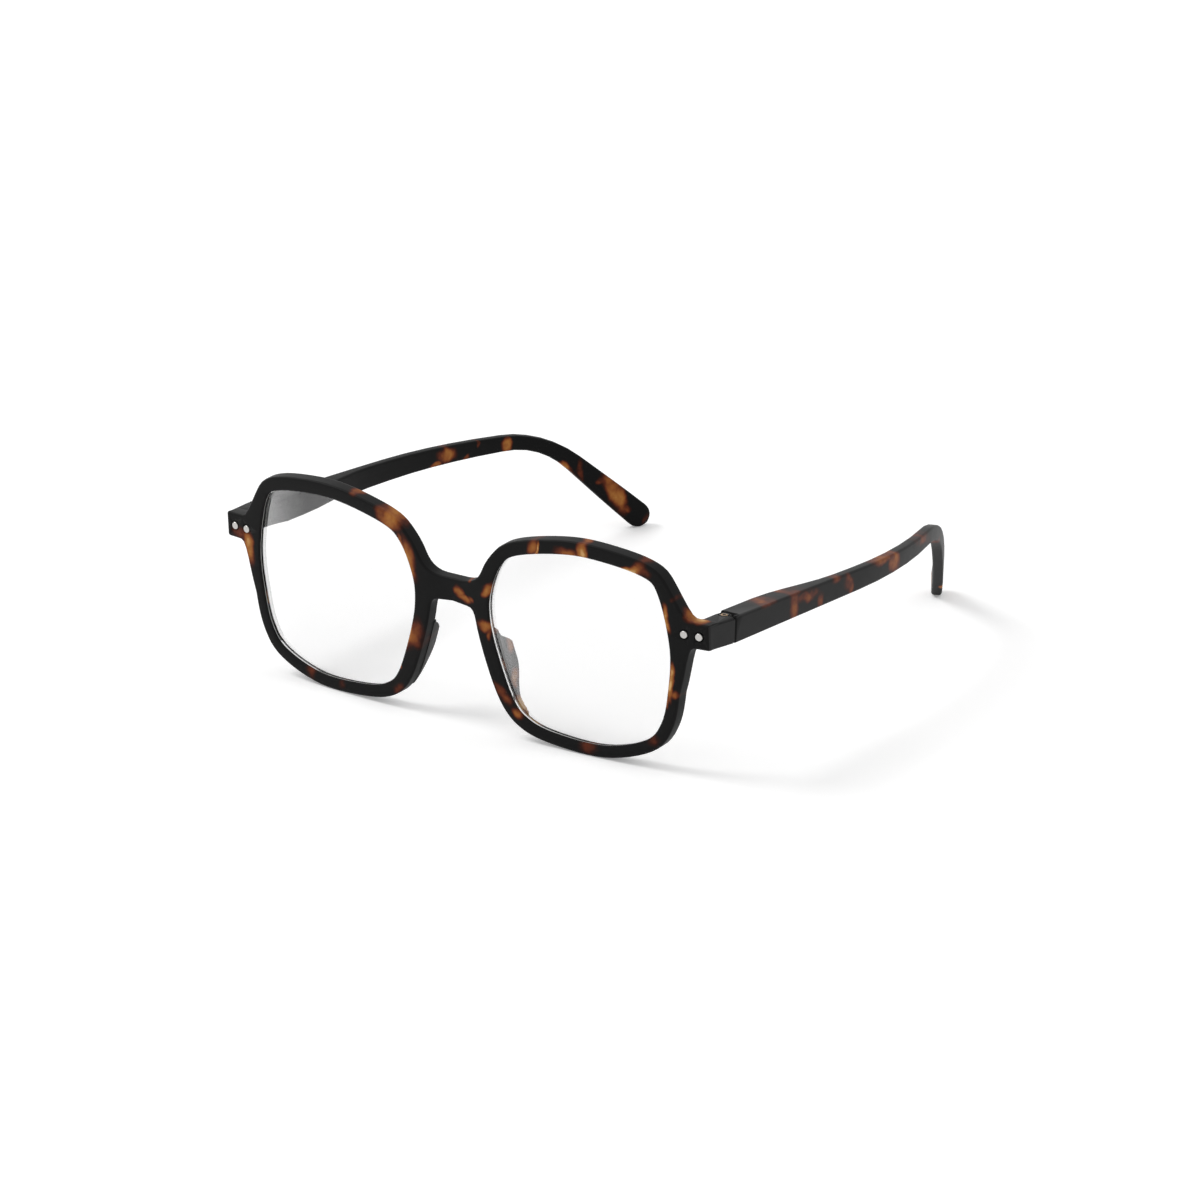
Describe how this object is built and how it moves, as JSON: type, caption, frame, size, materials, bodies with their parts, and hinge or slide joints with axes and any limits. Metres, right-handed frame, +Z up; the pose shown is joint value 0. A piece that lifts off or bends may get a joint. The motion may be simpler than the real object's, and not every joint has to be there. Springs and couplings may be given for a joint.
{
  "type": "folding reading glasses",
  "caption": "Full-rim reading glasses: a curved tortoise plastic front with a saddle bridge, clear lenses and spring-hinged temples that bend behind the ear and fold in behind the front.",
  "frame": {"origin": "on the floor that the lower rims and the temple tips stand on, under the middle of the bounding box", "axes": "+Z up; the front faces -Y and the temples run to +Y; the wearer's left side is at +X"},
  "size_m": [0.144, 0.1488, 0.0538],
  "materials": {
    "tortoise_plastic": "soft matte near-black plastic with amber and red-brown tortoise patches",
    "clear_lens": "clear polished lens",
    "satin_silver": "satin silver plating",
    "hinge_steel": "plain machined steel",
    "brass_insert": "plain turned brass"
  },
  "bodies": {
    "front": {"front_frame": "tortoise_plastic", "lens_left": "clear_lens", "lens_right": "clear_lens", "rivet_left_outer": "satin_silver", "rivet_left_inner": "satin_silver", "rivet_right_outer": "satin_silver", "rivet_right_inner": "satin_silver", "hinge_screw_left": "hinge_steel", "hinge_screw_right": "hinge_steel", "screw_insert_left": "brass_insert", "screw_insert_right": "brass_insert"},
    "hinge_left": {"spring_eye_left": "hinge_steel", "spring_collar_left": "hinge_steel", "flex_spring_left": "hinge_steel"},
    "hinge_right": {"spring_eye_right": "hinge_steel", "spring_collar_right": "hinge_steel", "flex_spring_right": "hinge_steel"},
    "arm_left": {"temple_left": "tortoise_plastic", "spring_housing_left": "hinge_steel"},
    "arm_right": {"temple_right": "tortoise_plastic", "spring_housing_right": "hinge_steel"}
  },
  "joints": [
    {"name": "fold_left", "type": "hinge", "parent": "front", "child": "hinge_left", "pos_m": [0.06845, -0.06003, 0.03541], "axis": [0, 0.0506, 0.9987], "range_deg": [0, 81.5]},
    {"name": "fold_right", "type": "hinge", "parent": "front", "child": "hinge_right", "pos_m": [-0.06845, -0.06003, 0.03541], "axis": [0, -0.0506, -0.9987], "range_deg": [0, 66]},
    {"name": "flex_left", "type": "slide", "parent": "hinge_left", "child": "arm_left", "axis": [0, 0.9987, -0.0506], "range_m": [0, 0.0012], "stiffness_N_per_m": 1500, "deforming": ["flex_spring_left"]},
    {"name": "flex_right", "type": "slide", "parent": "hinge_right", "child": "arm_right", "axis": [0, 0.9987, -0.0506], "range_m": [0, 0.0012], "stiffness_N_per_m": 1500, "deforming": ["flex_spring_right"]}
  ]
}
